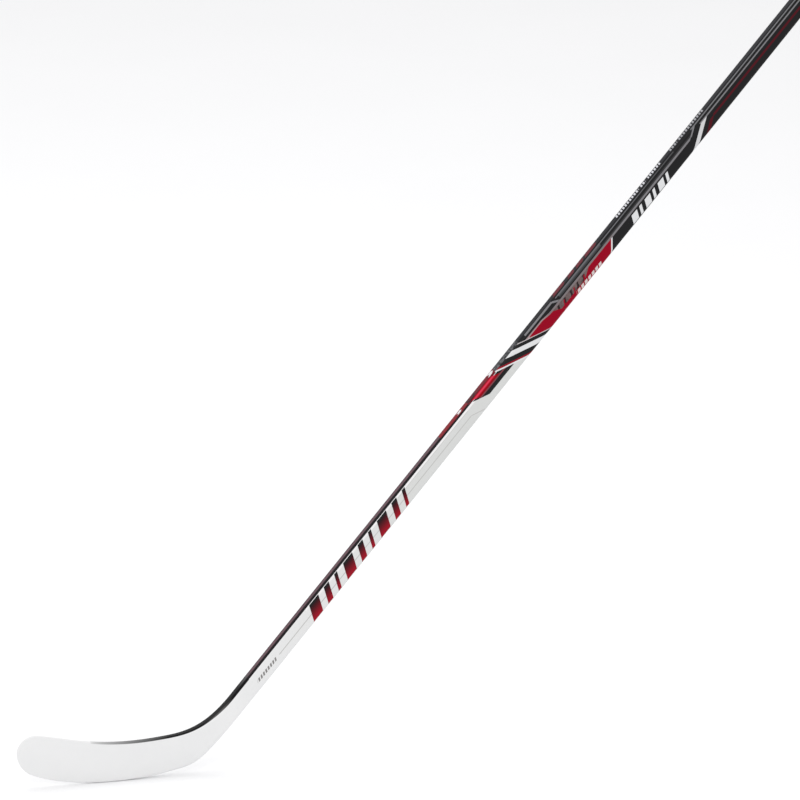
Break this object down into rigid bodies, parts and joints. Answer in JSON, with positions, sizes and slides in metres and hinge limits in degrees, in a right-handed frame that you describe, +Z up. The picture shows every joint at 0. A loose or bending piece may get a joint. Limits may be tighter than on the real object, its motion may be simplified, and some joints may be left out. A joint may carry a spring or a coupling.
{
  "type": "ice hockey stick",
  "caption": "Senior composite ice hockey stick: hollow rounded-rectangular shaft with a butt plug, a bonded hosel and a curved, foam-cored blade.",
  "frame": {"origin": "on the ice under the middle of the blade, where the flat of the sole touches it", "axes": "+Z up from the ice in the playing pose; +X from the toe towards the heel and the butt end; +Y towards the forehand, the side the toe curves to"},
  "size_m": [1.2815, 0.0308, 1.1585],
  "materials": {
    "shaft_lacquer": "clear-coated lacquer over carbon fibre, black with crimson and white fields",
    "blade_lacquer": "satin white lacquer over carbon fibre",
    "cap_plastic": "fine moulded texture",
    "resin": "set epoxy",
    "foam": "closed-cell foam",
    "carbon": "bare carbon laminate"
  },
  "bodies": {
    "root": {"shaft_tube": "shaft_lacquer", "butt_plug": "cap_plastic", "plug_glue_film": "resin", "tenon_glue_film": "resin", "hosel": "blade_lacquer", "hosel_foam_core": "foam", "face_laminate_backhand": "blade_lacquer", "face_laminate_forehand": "blade_lacquer", "edge_wrap_top": "blade_lacquer", "edge_wrap_sole": "blade_lacquer", "edge_wrap_toe": "blade_lacquer", "foam_core_lower": "foam", "foam_core_middle": "foam", "foam_core_upper": "foam", "rib_lower": "carbon", "rib_upper": "carbon"}
  },
  "joints": []
}
